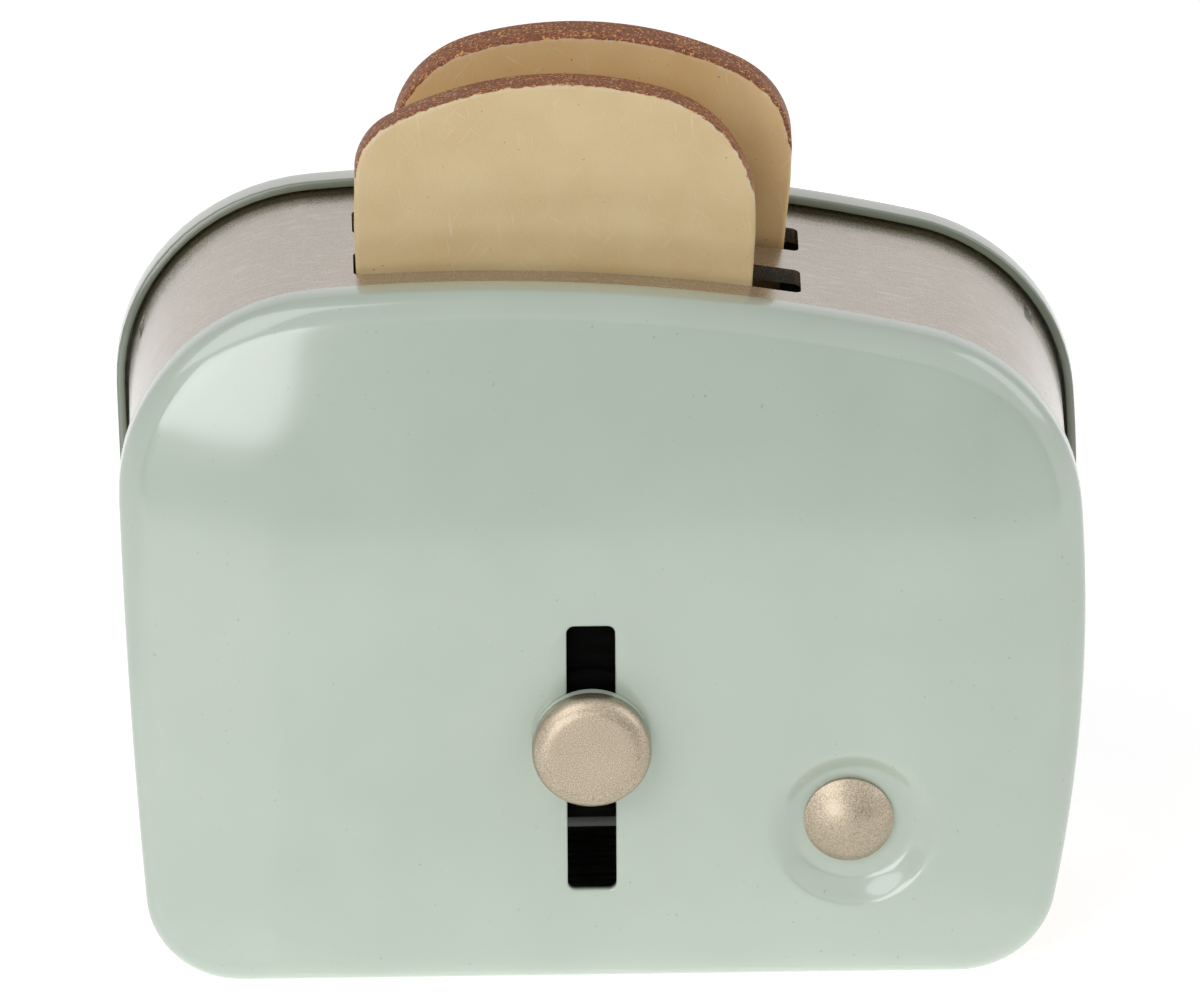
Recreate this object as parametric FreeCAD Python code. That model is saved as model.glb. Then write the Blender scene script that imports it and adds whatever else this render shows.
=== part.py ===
import FreeCAD, Part
import math
import os

# A miniature two-slot toaster of pressed sheet metal, in millimetres. Two mint pans close the front and
# the rear of a champagne band. A friction lever in the front pan raises and lowers two slices of bread.
# +X is to the right of the front face, +Y goes from the front to the rear, and +Z is up. The origin lies
# on the floor, half-way along the whole length and half-way between the knob's face and the rear pan.

# Case outline, seen from the front. Each side is one long arc through a foot, a waist and a shoulder
# point. The feet are tucked in from the waist, the left shoulder flares out and the right one tucks in.
case_height = 43.4
case_depth = 20.5
waist_height = 21.0
shoulder_height = 40.0
waist_left = 27.4
waist_right = 27.7
foot_tuck_left = 1.4
foot_tuck_right = 2.8
shoulder_flare_left = 0.5
shoulder_tuck_right = 1.4
crown_radius = 108.0
crown_offset = -7.5
top_left_radius = 12.3
top_right_radius = 12.0
bottom_left_radius = 5.5
bottom_right_radius = 5.7

# Pans and band
shell_sheet = 0.5
shell_depth = 2.8
face_roll = 1.6
band_sheet = 0.4
rim_gap = 0.2
band_tuck = 1.1
band_foot_length = 4.3
base_plate_sheet = 0.4
base_plate_gap = 0.3
base_rivet_inset = 2.0
base_rivet_spacing_y = 10.0
rivet_shank_radius = 0.55
rivet_head_radius = 0.95
rivet_head_height = 0.4

# Bread slots in the top of the band
slot_length = 25.67
slot_width = 3.16
slot_pitch = 5.86
slot_offset = -1.285
slot_corner = 0.4
slot_flange_sheet = 0.35
slot_flange_depth = 0.9

# Dimple and fixed button
dimple_offset = 14.3
dimple_height = 9.7
dimple_radius = 4.9
dimple_wall = 1.2
dimple_depth = 0.86
dimple_rounding = 1.3
button_shift = -0.25
button_rise = 0.35
button_radius = 2.58
button_rim = 0.3
button_dome = 0.85
button_shank_radius = 0.8
button_ring_radius = 1.9
button_ring_sheet = 0.35
button_tail_radius = 1.3
button_tail_height = 0.4

# Lever slot, knob and slide
lever_offset = -0.75
lever_slot_bottom = 6.05
lever_slot_top = 22.75
lever_slot_width = 2.8
lever_slot_corner = 0.46
lever_height = 15.45
knob_radius = 3.44
knob_thickness = 1.5
knob_rounding = 0.45
knob_back_rounding = 0.15
knob_bore_depth = 1.1
lever_washer_radius = 3.4
lever_washer_sheet = 0.45
slide_block_height = 4.2
lever_rivet_radius = 0.8
lever_tail_radius = 1.5
lever_tail_height = 0.5
spring_washer_inner = 2.7
spring_washer_outer = 4.3
spring_washer_sheet = 0.3
slide_space = 0.5

# Carriage, bread tray and guides
carriage_sheet = 0.5
carriage_width = 10.0
carriage_foot = 5.2
carriage_bend = 1.0
carriage_shelf = 10.6
tray_upper_drop = 7.2
tray_sheet = 0.5
tray_depth = 12.6
tray_lip_height = 1.4
tray_lip_length = 25.0
tray_end = 1.6
tray_rivet_spacing = 6.0
guide_rod_radius = 0.6
guide_rod_reach = 2.2
divider_sheet = 0.6
divider_width = 2.0
divider_tab_width = 1.9
divider_tab_drop = 8.7
divider_tab_offset = 5.35
divider_tab_recess = 0.1

# Bread slices
front_slice_height = 22.4
rear_slice_height = 23.3
slice_taper = 2.7
front_slice_arch_radius = 20.8
front_slice_arch_offset = 0.3
front_slice_left_radius = 3.7
front_slice_right_radius = 7.4
rear_slice_arch_radius = 20.4
rear_slice_arch_offset = -0.6
rear_slice_left_radius = 6.4
rear_slice_right_radius = 5.7
slice_foot_radius = 1.5
slice_shoulder_drop = 9.2
slice_lean = 3.6
front_slice_turn = 0.8
rear_slice_turn = 2.6

# Clearances
sliding_clearance = 0.05
running_clearance = 0.06
rivet_clearance = 0.03
tab_clearance = 0.05
end_clearance = 0.05
slice_clearance = 0.06
slice_side_clearance = 0.106
slice_end_room = 2.67
front_slice_end_gap = 0.12
rear_slice_end_gap = 0.55
divider_clearance = 0.3

# Places along the depth, counted from the knob's outer face
knob_reach = sliding_clearance + lever_washer_sheet + knob_thickness
front_y = knob_reach - (case_depth + knob_reach) / 2.0
rear_y = front_y + case_depth
middle_y = (front_y + rear_y) / 2.0
face_inside_y = front_y + shell_sheet
web_y = face_inside_y + slide_space
washer_y = front_y - sliding_clearance - lever_washer_sheet
dimple_floor_y = front_y + dimple_depth
band_start_y = front_y + shell_depth - band_tuck
band_end_y = rear_y - shell_depth + band_tuck
band_inset = shell_sheet + rim_gap

# The button stands on the dimple's floor, a little off its middle
dimple_floor_radius = dimple_radius - dimple_wall
button_offset = dimple_offset + button_shift
button_height = dimple_height + button_rise

# Lever travel, from the slot's ends and the slide block
lever_up = lever_slot_top - end_clearance - slide_block_height / 2.0 - lever_height
lever_down = lever_height - (lever_slot_bottom + end_clearance + slide_block_height / 2.0)

# Heights of the tray, which carries the feet of the slices, and of the bar that it rises towards
tray_top = case_height - tray_upper_drop - lever_up
tray_bottom = tray_top - tray_sheet
shelf_bottom = tray_bottom - carriage_sheet
divider_height = tray_top + lever_up + rivet_head_height + divider_clearance
divider_tab_height = case_height - divider_tab_drop
slot_left = slot_offset - slot_length / 2.0
slot_right = slot_offset + slot_length / 2.0
slice_width = slot_length - slice_end_room
rod_places = (slot_left - guide_rod_reach, slot_right + guide_rod_reach)
leg_places = (rod_places[0] - tray_end - divider_clearance, rod_places[1] + tray_end + divider_clearance)
base_top = band_inset + band_sheet + base_plate_sheet

# The level part of the case's underside ends where its bottom corners begin
level_left = foot_tuck_left - waist_left + bottom_left_radius
level_right = waist_right - foot_tuck_right - bottom_right_radius
plate_left = level_left + base_plate_gap
plate_right = level_right - base_plate_gap

far = 60.0
along_y = FreeCAD.Vector(0, 1, 0)


def point(x, y, z):
    return FreeCAD.Vector(x, y, z)


def box(x_range, y_range, z_range):
    size = [high - low for low, high in (x_range, y_range, z_range)]
    return Part.makeBox(size[0], size[1], size[2], point(x_range[0], y_range[0], z_range[0]))


def rod_y(radius, x, z, start_y, end_y):
    """A round bar that runs along the depth."""
    return Part.makeCylinder(radius, end_y - start_y, point(x, start_y, z), along_y)


def rod_z(radius, x, y, start_z, end_z):
    """A round bar that stands upright."""
    return Part.makeCylinder(radius, end_z - start_z, point(x, y, start_z))


def circle_through(first, second, third):
    """Centre and radius, in the XZ plane, of the circle through three points."""
    ends = [point(x, 0, z) for x, z in (first, second, third)]
    curve = Part.Arc(ends[0], ends[1], ends[2]).toShape().Curve
    return curve.Center.x, curve.Center.z, curve.Radius


def edges_in_plane(shape, y):
    """Every edge that lies wholly in the plane at depth y."""
    return [edge for edge in shape.Edges if abs(edge.BoundBox.YMin - y) + abs(edge.BoundBox.YMax - y) < 1e-5]


def edge_at(shape, place):
    return min(shape.Edges, key=lambda edge: (edge.CenterOfMass - place).Length)


left_points = (
    (foot_tuck_left - waist_left, 0),
    (-waist_left, waist_height),
    (-waist_left - shoulder_flare_left, shoulder_height),
)
right_points = (
    (waist_right - foot_tuck_right, 0),
    (waist_right, waist_height),
    (waist_right - shoulder_tuck_right, shoulder_height),
)
outline_circles = (
    circle_through(*left_points),
    circle_through(*right_points),
    (crown_offset, case_height - crown_radius, crown_radius),
)


def crown_fall(x):
    """How far the top of the case lies below its highest point."""
    return crown_radius - math.sqrt(crown_radius ** 2 - (x - crown_offset) ** 2)


def corner_radius(place):
    """The case's corner radius at a sharp corner of its outline."""
    if place.z > waist_height:
        return top_left_radius if place.x < 0 else top_right_radius
    return bottom_left_radius if place.x < 0 else bottom_right_radius


def case_block(inset, start_y, end_y):
    """A solid with the case's outline, drawn in by an even inset, between two depths."""
    block = box((-far, far), (start_y, end_y), (inset, far))
    for centre_x, centre_z, radius in outline_circles:
        block = block.common(rod_y(radius - inset, centre_x, centre_z, start_y, end_y))
    block = block.removeSplitter()
    corners = [edge.CenterOfMass for edge in block.Edges if edge.BoundBox.YLength > (end_y - start_y) / 2.0]
    for corner in corners:
        block = block.makeFillet(corner_radius(corner) - inset, [edge_at(block, corner)])
    return block


def rounded_prism(x_range, y_range, z_range, radius):
    """A box whose four upright edges are rounded."""
    prism = box(x_range, y_range, z_range)
    uprights = [edge for edge in prism.Edges if edge.BoundBox.ZLength > (z_range[1] - z_range[0]) / 2.0]
    return prism.makeFillet(radius, uprights)


def pan():
    """An open pan with the case's outline, its face to the front and its face's edge rolled round."""
    outside = case_block(0, front_y, front_y + shell_depth)
    outside = outside.makeFillet(face_roll, edges_in_plane(outside, front_y))
    inside = case_block(shell_sheet, face_inside_y, front_y + shell_depth + shell_sheet)
    inside = inside.makeFillet(face_roll - shell_sheet, edges_in_plane(inside, face_inside_y))
    return outside.cut(inside)


def lever_slot_cut():
    """The upright slot in the front face, with small rounded corners."""
    half = lever_slot_width / 2.0
    through = (front_y - shell_sheet, face_inside_y + shell_sheet)
    slot = box((lever_offset - half, lever_offset + half), through, (lever_slot_bottom, lever_slot_top))
    corners = [edge for edge in slot.Edges if edge.BoundBox.YLength > shell_sheet]
    return slot.makeFillet(lever_slot_corner, corners)


def make_front_shell():
    """Front pan with the lever slot, and a round dimple pressed into it for the button."""
    shell = pan().cut(lever_slot_cut())
    place = point(dimple_offset, front_y, dimple_height)
    slope = (dimple_radius - dimple_floor_radius) / dimple_depth
    back_depth = dimple_depth + shell_sheet
    back_radius = dimple_radius + shell_sheet
    back = Part.makeCone(back_radius, back_radius - slope * back_depth, back_depth, place, along_y)
    hollow = Part.makeCone(dimple_radius, dimple_floor_radius, dimple_depth, place, along_y)
    mouth = point(dimple_offset, front_y, dimple_height + dimple_radius)
    floor = point(dimple_offset, dimple_floor_y, dimple_height + dimple_floor_radius)
    shell = shell.fuse(back).cut(hollow)
    rings = [
        edge for edge in shell.Edges
        if min(edge.distToShape(Part.Vertex(mouth))[0], edge.distToShape(Part.Vertex(floor))[0]) < 1e-4
        and hasattr(edge.Curve, "Radius")
    ]
    shell = shell.makeFillet(dimple_rounding, rings)
    hole = button_shank_radius + rivet_clearance
    return shell.cut(rod_y(hole, button_offset, button_height, front_y, front_y + back_depth + shell_sheet))


def make_rear_shell():
    """Rear pan: the same pressing as the front one, turned to face the rear, with no slot or dimple."""
    return pan().mirror(point(0, middle_y, 0), along_y)


def slot_centres():
    return (middle_y - slot_pitch / 2.0, middle_y + slot_pitch / 2.0)


def slot_prism(centre_y, growth):
    """An upright prism with a bread slot's outline, let out by an even growth."""
    half = slot_width / 2.0 + growth
    x_range = (slot_left - growth, slot_right + growth)
    y_range = (centre_y - half, centre_y + half)
    return rounded_prism(x_range, y_range, (waist_height, far), slot_corner + growth)


def tab_prism(clearance):
    """A flat prism through both shoulders with the section of the divider bar's tabs, plus a clearance."""
    half = divider_tab_width / 2.0 + clearance
    centre_y = middle_y + divider_tab_offset
    heights = (divider_tab_height - clearance, divider_tab_height + divider_sheet + clearance)
    return box((-far, far), (centre_y - half, centre_y + half), heights)


def make_case_band():
    """Band over the top and down both sides, with two flanged bread slots and its feet turned in below."""
    skin = case_block(band_inset, band_start_y, band_end_y)
    band = skin.cut(case_block(band_inset + band_sheet, band_start_y, band_end_y))
    flange_zone = skin.cut(case_block(band_inset + slot_flange_depth, band_start_y, band_end_y))
    for centre_y in slot_centres():
        opening = slot_prism(centre_y, 0)
        flange = slot_prism(centre_y, slot_flange_sheet).common(flange_zone)
        band = band.fuse(flange).cut(opening)
    window_ends = (level_left + band_foot_length, level_right - band_foot_length)
    window = box(window_ends, (band_start_y, band_end_y), (0, waist_height / 2.0))
    return band.cut(window).cut(tab_prism(tab_clearance)).cut(base_rivet_holes()).removeSplitter()


def base_rivet_places():
    half_y = base_rivet_spacing_y / 2.0
    places = (plate_left + base_rivet_inset, plate_right - base_rivet_inset)
    return [(x, middle_y + y) for x in places for y in (-half_y, half_y)]


def base_rivet_holes():
    radius = rivet_shank_radius + rivet_clearance
    top = base_top + base_plate_sheet
    return Part.makeCompound([rod_z(radius, x, y, 0, top) for x, y in base_rivet_places()])


def make_base_plate():
    """Floor plate inside the band's turned-in feet, with holes for the rivets and the guide rods."""
    depth = (band_start_y + base_plate_gap, band_end_y - base_plate_gap)
    plate = rounded_prism((plate_left, plate_right), depth, (band_inset + band_sheet, base_top), slot_corner)
    return plate.cut(base_rivet_holes()).cut(guide_rod_holes())


def rivet(x, y, start_z, end_z):
    """A round rivet that clamps everything between two heights."""
    shank = rod_z(rivet_shank_radius, x, y, start_z - rivet_head_height, end_z + rivet_head_height)
    lower = rod_z(rivet_head_radius, x, y, start_z - rivet_head_height, start_z)
    upper = rod_z(rivet_head_radius, x, y, end_z, end_z + rivet_head_height)
    return shank.fuse(lower).fuse(upper).removeSplitter()


def make_base_rivets():
    return Part.makeCompound([rivet(x, y, band_inset, base_top) for x, y in base_rivet_places()])


def guide_rod_holes():
    radius = guide_rod_radius + rivet_clearance
    return Part.makeCompound([rod_z(radius, x, middle_y, 0, far) for x in rod_places])


def make_guide_rods():
    """Two upright rods, staked in the base plate and the divider bar, that keep the tray level."""
    lower = band_inset + band_sheet
    upper = divider_height + divider_sheet
    return Part.makeCompound([rod_z(guide_rod_radius, x, middle_y, lower, upper) for x in rod_places])


def make_divider_bar():
    """Flat bar under the bridge, turned down at both ends, with a tab through each shoulder of the band."""
    half = divider_width / 2.0
    top = divider_height + divider_sheet
    bar = box(leg_places, (middle_y - half, middle_y + half), (divider_height, top))
    leg_end_y = middle_y + divider_tab_offset + divider_tab_width / 2.0
    leg_bottom = min(divider_height, divider_tab_height)
    leg_top = max(divider_height, divider_tab_height) + divider_sheet
    for x, outward in zip(leg_places, (-divider_sheet, divider_sheet)):
        sides = (min(x, x + outward), max(x, x + outward))
        bar = bar.fuse(box(sides, (middle_y - half, leg_end_y), (leg_bottom, leg_top)))
    bar = bar.common(case_block(band_inset + band_sheet + divider_clearance, band_start_y, band_end_y))
    tabs = tab_prism(0).common(case_block(band_inset + divider_tab_recess, band_start_y, band_end_y))
    tabs = tabs.cut(box(leg_places, (band_start_y, band_end_y), (0, far)))
    return bar.fuse(tabs).cut(guide_rod_holes()).removeSplitter()


def make_lever_knob():
    """Flat round knob with a soft front edge and a blind bore for the rivet."""
    start_y = washer_y - knob_thickness
    knob = rod_y(knob_radius, lever_offset, lever_height, start_y, washer_y)
    knob = knob.makeFillet(knob_rounding, edges_in_plane(knob, start_y))
    knob = knob.makeFillet(knob_back_rounding, edges_in_plane(knob, washer_y))
    bore = lever_rivet_radius + rivet_clearance
    return knob.cut(rod_y(bore, lever_offset, lever_height, washer_y - knob_bore_depth, washer_y))


def make_lever_washer():
    """Painted washer between the knob and the face."""
    end_y = washer_y + lever_washer_sheet
    washer = rod_y(lever_washer_radius, lever_offset, lever_height, washer_y, end_y)
    hole = lever_rivet_radius + rivet_clearance
    return washer.cut(rod_y(hole, lever_offset, lever_height, washer_y, end_y))


def make_slide_block():
    """Block that runs in the lever slot and keeps the carriage from turning."""
    half = lever_slot_width / 2.0 - sliding_clearance
    half_height = slide_block_height / 2.0
    heights = (lever_height - half_height, lever_height + half_height)
    start_y = washer_y + lever_washer_sheet
    block = box((lever_offset - half, lever_offset + half), (start_y, web_y), heights)
    corners = [edge for edge in block.Edges if edge.BoundBox.YLength > (web_y - start_y) / 2.0]
    block = block.makeFillet(lever_slot_corner, corners)
    return block.cut(rod_y(lever_rivet_radius + rivet_clearance, lever_offset, lever_height, start_y, web_y))


def make_lever_rivet():
    """Rivet from the knob's bore through the washer, block and web, with a closed head behind."""
    start_y = washer_y - knob_bore_depth + rivet_clearance
    tail_y = web_y + carriage_sheet
    shank = rod_y(lever_rivet_radius, lever_offset, lever_height, start_y, tail_y)
    tail = rod_y(lever_tail_radius, lever_offset, lever_height, tail_y, tail_y + lever_tail_height)
    tail = tail.makeFillet(lever_tail_height / 2.0, edges_in_plane(tail, tail_y + lever_tail_height))
    return shank.fuse(tail).removeSplitter()


def make_spring_washer():
    """Dished washer that presses on the inside of the face and holds the lever where it is put."""
    front_edge = face_inside_y + sliding_clearance
    dish = slide_space - sliding_clearance - spring_washer_sheet
    profile = Part.makePolygon([
        point(spring_washer_outer, 0, 0),
        point(spring_washer_outer, spring_washer_sheet, 0),
        point(spring_washer_inner, spring_washer_sheet + dish, 0),
        point(spring_washer_inner, dish, 0),
        point(spring_washer_outer, 0, 0),
    ])
    washer = Part.Face(profile).revolve(point(0, 0, 0), along_y, 360)
    washer.translate(point(lever_offset, front_edge, lever_height))
    return washer


def tray_rivet_places():
    half = tray_rivet_spacing / 2.0
    return [(lever_offset - half, middle_y), (lever_offset + half, middle_y)]


def tray_rivet_holes():
    radius = rivet_shank_radius + rivet_clearance
    return Part.makeCompound([rod_z(radius, x, y, shelf_bottom, tray_top) for x, y in tray_rivet_places()])


def make_carriage():
    """Bent sheet: a web behind the face, turned back at the top into a shelf under the tray."""
    half = carriage_width / 2.0
    sides = (lever_offset - half, lever_offset + half)
    web_back_y = web_y + carriage_sheet
    shelf_end_y = web_y + carriage_shelf
    web = box(sides, (web_y, web_back_y), (lever_height - carriage_foot, tray_bottom))
    shelf = box(sides, (web_y, shelf_end_y), (shelf_bottom, tray_bottom))
    sheet = web.fuse(shelf).removeSplitter()
    outer = edge_at(sheet, point(lever_offset, web_y, tray_bottom))
    sheet = sheet.makeFillet(carriage_bend, [outer])
    inner = edge_at(sheet, point(lever_offset, web_back_y, shelf_bottom))
    sheet = sheet.makeFillet(carriage_bend - carriage_sheet, [inner])
    hole = lever_rivet_radius + rivet_clearance
    return sheet.cut(rod_y(hole, lever_offset, lever_height, web_y, web_back_y)).cut(tray_rivet_holes())


def make_bread_tray():
    """Tray under both slices, with turned-up lips and holes that run on the guide rods."""
    half = tray_depth / 2.0
    depth = (middle_y - half, middle_y + half)
    sides = (rod_places[0] - tray_end, rod_places[1] + tray_end)
    tray = rounded_prism(sides, depth, (tray_bottom, tray_top), tray_end / 2.0)
    half_lip = tray_lip_length / 2.0
    lip_sides = (slot_offset - half_lip, slot_offset + half_lip)
    heights = (tray_bottom, tray_top + tray_lip_height)
    for start_y in (depth[0], depth[1] - tray_sheet):
        tray = tray.fuse(box(lip_sides, (start_y, start_y + tray_sheet), heights))
    for x in rod_places:
        tray = tray.cut(rod_z(guide_rod_radius + running_clearance, x, middle_y, tray_bottom, tray_top))
    return tray.cut(tray_rivet_holes()).removeSplitter()


def make_tray_rivets():
    return Part.makeCompound([rivet(x, y, shelf_bottom, tray_top) for x, y in tray_rivet_places()])


def make_button_stud():
    """Low domed button whose shank goes through the dimple's floor and is closed over a ring behind."""
    rim_y = dimple_floor_y - button_rim
    head = rod_y(button_radius, button_offset, button_height, rim_y - button_dome, dimple_floor_y)
    ball_radius = (button_radius ** 2 + button_dome ** 2) / (2.0 * button_dome)
    centre = point(button_offset, rim_y - button_dome + ball_radius, button_height)
    head = head.common(Part.makeSphere(ball_radius, centre))
    ring_y = dimple_floor_y + shell_sheet
    tail_y = ring_y + button_ring_sheet
    shank = rod_y(button_shank_radius, button_offset, button_height, dimple_floor_y, tail_y)
    tail = rod_y(button_tail_radius, button_offset, button_height, tail_y, tail_y + button_tail_height)
    return head.fuse(shank).fuse(tail).removeSplitter()


def make_button_ring():
    """Backing ring under the button's closed tail."""
    start_y = dimple_floor_y + shell_sheet
    end_y = start_y + button_ring_sheet
    ring = rod_y(button_ring_radius, button_offset, button_height, start_y, end_y)
    hole = button_shank_radius + rivet_clearance
    return ring.cut(rod_y(hole, button_offset, button_height, start_y, end_y))


def slot_fall():
    """Height between the top of the case and the lowest point of the slots' flanges."""
    return max(crown_fall(slot_left), crown_fall(slot_right)) + slot_flange_depth


def slice_thickness():
    """As thick as its slot allows for a slice that leans, over the whole travel of the lever."""
    lean = math.radians(slice_lean)
    sweep = (lever_up + lever_down + slot_fall()) * math.tan(lean)
    return (slot_width - sweep - 2.0 * slice_side_clearance) * math.cos(lean)


def slice_blank(height, arch_radius, arch_offset, left_radius, right_radius):
    """A slice that stands upright on z = 0, centred on x = 0 and y = 0, with an arched top.

    The arch peaks a little to one side, and each shoulder has its own rounding.
    """
    half = slice_width / 2.0
    shoulder = height - slice_shoulder_drop
    foot = half - shoulder * math.tan(math.radians(slice_taper))
    half_thickness = slice_thickness() / 2.0
    corners = [
        point(-foot, -half_thickness, 0),
        point(-half, -half_thickness, shoulder),
        point(-half, -half_thickness, height),
        point(half, -half_thickness, height),
        point(half, -half_thickness, shoulder),
        point(foot, -half_thickness, 0),
    ]
    blank = Part.Face(Part.makePolygon(corners + corners[:1])).extrude(point(0, slice_thickness(), 0))
    arch_centre = height - arch_radius
    arch = rod_y(arch_radius, arch_offset, arch_centre, -half_thickness, half_thickness)
    lower = box((-far, far), (-half_thickness, half_thickness), (-far, arch_centre))
    blank = blank.common(arch.fuse(lower))
    for x, radius in ((-half, left_radius), (half, right_radius)):
        arch_end = arch_centre + math.sqrt(arch_radius ** 2 - (x - arch_offset) ** 2)
        blank = blank.makeFillet(radius, [edge_at(blank, point(x, 0, arch_end))])
    feet = [edge for edge in blank.Edges if edge.BoundBox.YLength > half_thickness
            and edge.CenterOfMass.z < slice_foot_radius]
    return blank.makeFillet(slice_foot_radius, feet)


def place_slice(solid, height, centre_x, centre_y, lean, turn):
    """Sets a slice on the tray: it leans towards the rear by an angle and is turned in its own plane.

    The slice sits so that its section at the slot has equal room at both ends of the lever's travel.
    """
    middle = point(0, 0, height / 2.0)
    solid.rotate(middle, along_y, turn)
    solid.rotate(middle, point(1, 0, 0), -lean)
    slope = math.tan(math.radians(lean))
    slot_height = case_height - band_inset - slot_fall() / 2.0 - tray_top
    shift = slope * ((lever_up - lever_down) / 2.0 + middle.z - slot_height)
    rise = tray_top + slice_clearance - solid.BoundBox.ZMin
    solid.translate(point(centre_x, centre_y + shift, rise))
    return solid


def make_front_slice():
    blank = slice_blank(
        front_slice_height, front_slice_arch_radius, front_slice_arch_offset,
        front_slice_left_radius, front_slice_right_radius,
    )
    centre_x = slot_left + front_slice_end_gap + slice_width / 2.0
    centre_y = slot_centres()[0]
    return place_slice(blank, front_slice_height, centre_x, centre_y, slice_lean, front_slice_turn)


def make_rear_slice():
    blank = slice_blank(
        rear_slice_height, rear_slice_arch_radius, rear_slice_arch_offset,
        rear_slice_left_radius, rear_slice_right_radius,
    )
    centre_x = slot_right - rear_slice_end_gap - slice_width / 2.0
    centre_y = slot_centres()[1]
    return place_slice(blank, rear_slice_height, centre_x, centre_y, -slice_lean, rear_slice_turn)


pieces = {
    "front_shell": make_front_shell,
    "rear_shell": make_rear_shell,
    "case_band": make_case_band,
    "base_plate": make_base_plate,
    "base_rivets": make_base_rivets,
    "divider_bar": make_divider_bar,
    "guide_rods": make_guide_rods,
    "button_stud": make_button_stud,
    "button_ring": make_button_ring,
    "lever_knob": make_lever_knob,
    "lever_washer": make_lever_washer,
    "lever_rivet": make_lever_rivet,
    "slide_block": make_slide_block,
    "spring_washer": make_spring_washer,
    "carriage": make_carriage,
    "bread_tray": make_bread_tray,
    "tray_rivets": make_tray_rivets,
    "front_slice": make_front_slice,
    "rear_slice": make_rear_slice,
}

os.makedirs("parts", exist_ok=True)
for name, make in pieces.items():
    make().exportStep("parts/" + name + ".step")
print("lever travel, up and down:", round(lever_up, 3), round(lever_down, 3))
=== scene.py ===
import math

import bmesh
import bpy
from mathutils import Matrix, Vector
from mathutils.geometry import delaunay_2d_cdt


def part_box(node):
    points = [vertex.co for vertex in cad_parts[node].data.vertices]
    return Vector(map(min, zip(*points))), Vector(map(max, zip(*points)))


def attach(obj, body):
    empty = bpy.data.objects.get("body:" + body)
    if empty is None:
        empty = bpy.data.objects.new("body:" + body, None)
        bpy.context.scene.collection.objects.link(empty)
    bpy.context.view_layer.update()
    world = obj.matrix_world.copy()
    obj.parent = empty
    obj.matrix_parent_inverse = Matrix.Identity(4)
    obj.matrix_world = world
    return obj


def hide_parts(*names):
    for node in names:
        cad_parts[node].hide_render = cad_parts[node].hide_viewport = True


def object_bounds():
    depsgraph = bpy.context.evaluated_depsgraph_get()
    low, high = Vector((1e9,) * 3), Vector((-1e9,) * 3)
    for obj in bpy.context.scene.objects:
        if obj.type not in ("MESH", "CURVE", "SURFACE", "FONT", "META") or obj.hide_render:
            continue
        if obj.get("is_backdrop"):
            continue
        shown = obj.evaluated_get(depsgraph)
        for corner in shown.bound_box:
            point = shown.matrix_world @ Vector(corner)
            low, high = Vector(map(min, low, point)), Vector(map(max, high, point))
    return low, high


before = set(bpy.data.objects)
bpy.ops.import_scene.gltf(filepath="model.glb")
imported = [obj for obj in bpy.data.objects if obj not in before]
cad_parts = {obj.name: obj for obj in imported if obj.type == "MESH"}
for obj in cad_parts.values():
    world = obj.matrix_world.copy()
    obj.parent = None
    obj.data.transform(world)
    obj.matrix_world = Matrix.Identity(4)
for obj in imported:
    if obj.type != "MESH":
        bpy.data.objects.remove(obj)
cad_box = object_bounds()

# A doll-house toaster: two mint enamelled pans, a champagne band between them, and two resin slices of
# bread. Lengths are in millimetres until a mesh is made, in the frame of the solids.
MM = 0.001


def node_box(node):
    """Lowest and highest corner of a solid, in millimetres."""
    low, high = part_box(node)
    return Vector(low) / MM, Vector(high) / MM


front_y = node_box("front_shell")[0].y
rear_y = node_box("rear_shell")[1].y

# Each slice's outline: height, radius and offset of its arch, radii of its left and right shoulders
front_slice_shape = (22.4, 20.8, 0.3, 3.7, 7.4)
rear_slice_shape = (23.3, 20.4, -0.6, 6.4, 5.7)

# Camera, at the photograph's viewing angle
camera_distance = 2100.0
camera_azimuth = -1.0
camera_elevation = 24.5
camera_roll = -0.35
camera_lens = 1099.0
camera_target = (-0.17, front_y, 30.75)

# Soft lights: place, target, size and power
key_light = ((-260, -330, 360), (0, 0, 20), (400, 400), 1.15)
side_light = ((380, -160, 260), (0, 0, 20), (220, 320), 0.4)
low_light = ((-71, -390, -78), (-20, -9, 38), (100, 90), 0.13)
ambient_light = 0.3

# Floor: where it begins and how far it reaches, its grey and its glow
floor_near = -72.0
floor_reach = 600.0
floor_grey = 0.86
floor_glow = 0.62

# Cards that only gloss sees: corners, grey and glow
dark_card_corners = [(-350, -450, -340), (350, -450, -340), (350, -450, 60), (-350, -450, 60)]
window_card_corners = [(-241, -380, -36), (-27, -383, -120), (-32, -437.5, 61), (-262, -427.7, 130)]
floor_card_corners = [(-60, -72, 0.5), (-19, -72, 0.5), (-19, -10, 0.5), (-60, -10, 0.5)]
card_grey = 0.4
window_card_glow = 4.6
floor_card_glow = 1.2

# Case outline, the same arcs as the solids have
case_height = 43.4
waist_height = 21.0
shoulder_height = 40.0
foot_left = 26.0
foot_right = 24.9
waist_left = 27.4
waist_right = 27.7
shoulder_left = 27.9
shoulder_right = 26.3
crown_radius = 108.0
crown_offset = -7.5
top_left_radius = 12.3
top_right_radius = 12.0
bottom_left_radius = 5.5
bottom_right_radius = 5.7
arc_steps = 22
corner_steps = 16

# Pans: a rolled rim, and a face that swells gently from it
shell_depth = 2.8
shell_sheet = 0.5
roll_width = 1.7
roll_depth = 1.6
roll_steps = 12
lip_rounding = 0.1
swell_width = 9.5
swell_depth = 0.62
swell_power = 2.3
thinned_sheet = 0.3
face_spacing = 0.55
face_ring_steps = 6
last_ring = 4.6

# Where the middle of a small rounded edge lies, as a share of its radius
edge_ease = 0.3

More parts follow.
